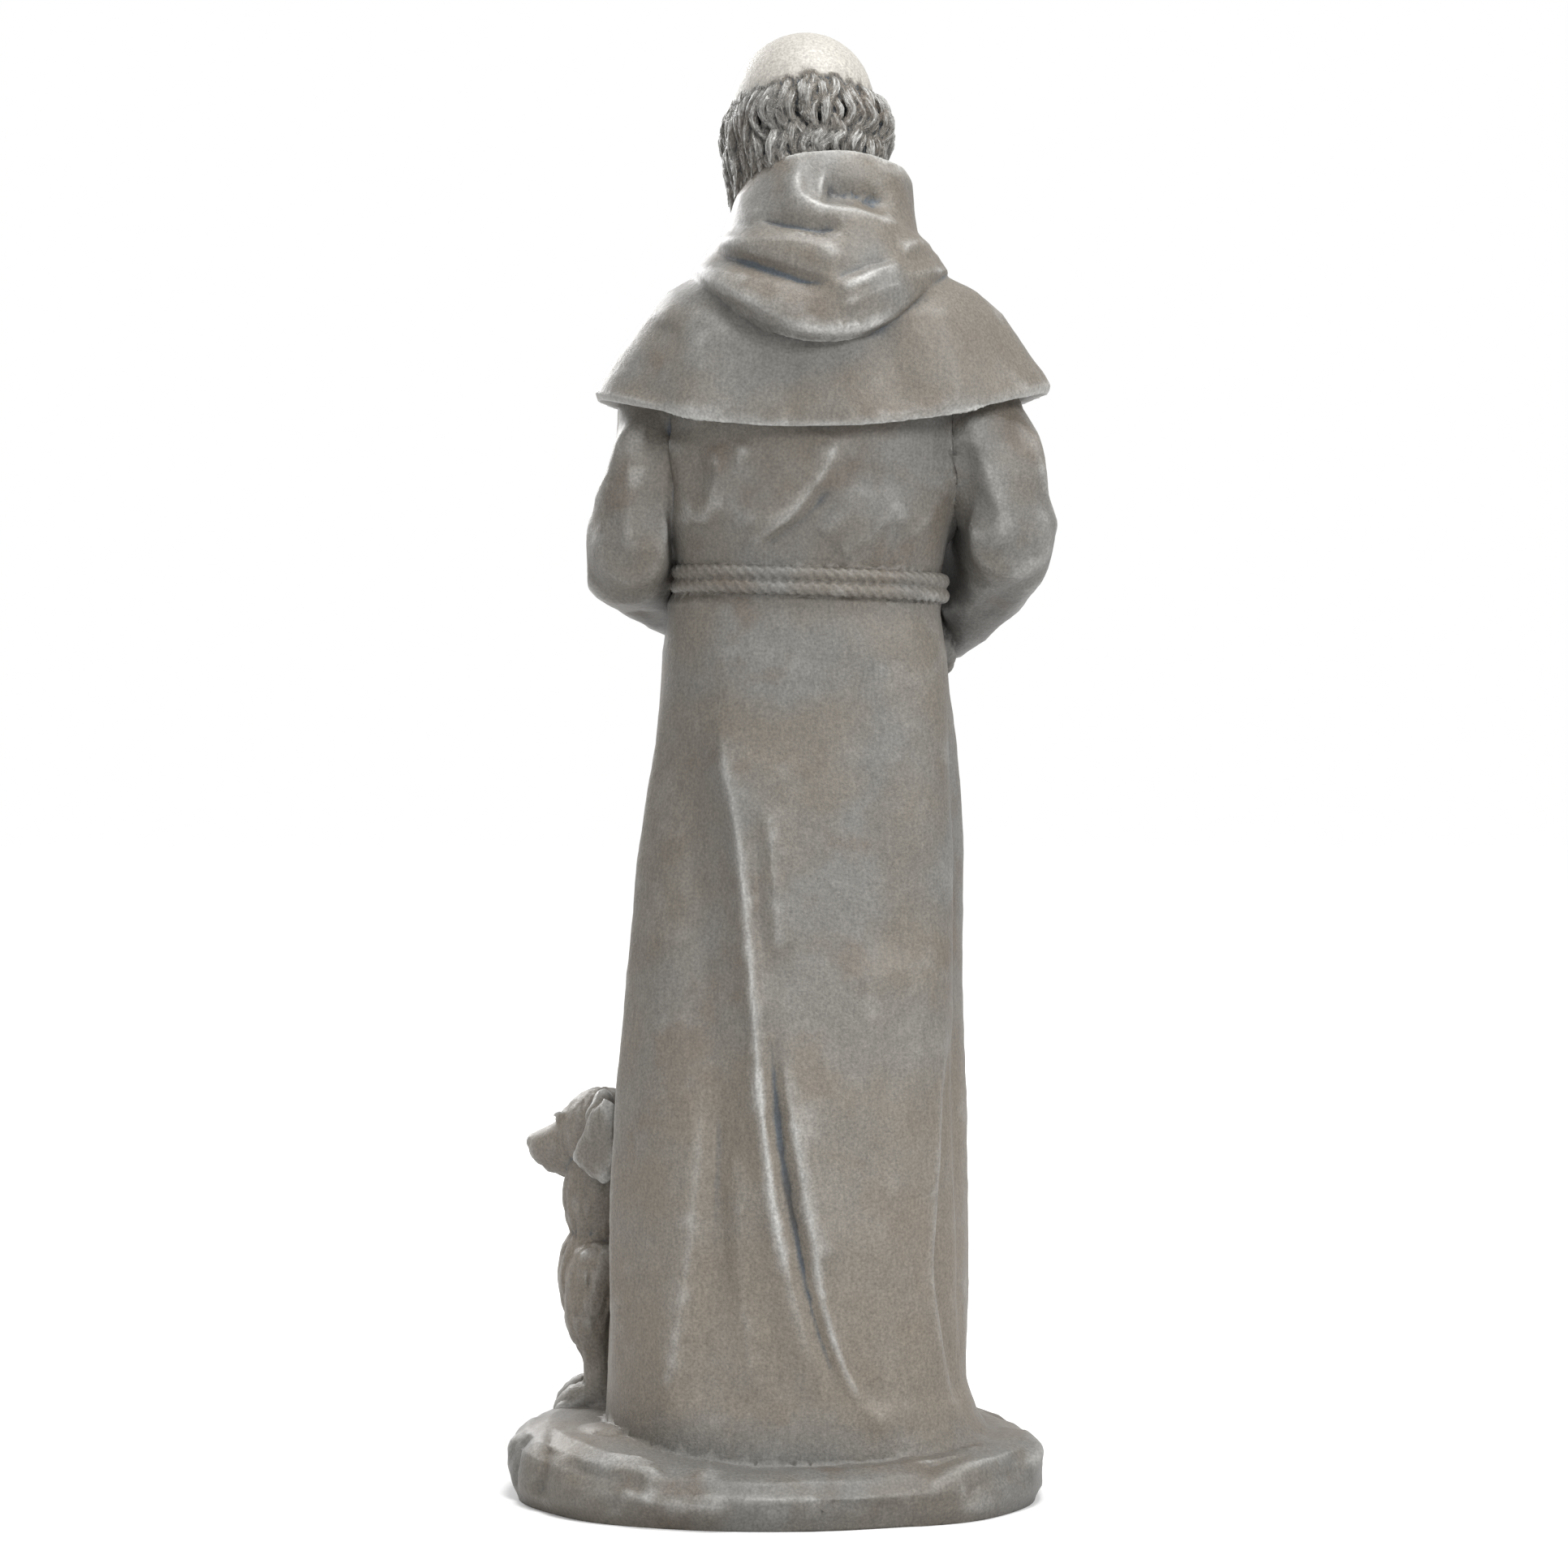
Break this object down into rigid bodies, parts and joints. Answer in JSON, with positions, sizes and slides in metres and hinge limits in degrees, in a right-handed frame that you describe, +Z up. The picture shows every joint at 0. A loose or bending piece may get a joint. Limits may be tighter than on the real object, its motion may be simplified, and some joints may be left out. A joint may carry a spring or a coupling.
{
  "type": "garden statue",
  "caption": "Cast stone garden statue of a robed, bearded friar with folded hood, shoulder cape and rope belt, with a dog at the left side, standing on a low rocky base.",
  "frame": {"origin": "middle of the base's flat underside", "axes": "+Z up, the friar faces -Y, the dog sits at +X"},
  "size_m": [0.3434, 0.2725, 0.914],
  "materials": {
    "cast_stone": "matt cast stone, fine sandy grain, warm grey-brown with pale worn ridges and blue-grey creases"
  },
  "bodies": {
    "root": {"statue": "cast_stone"}
  },
  "joints": []
}
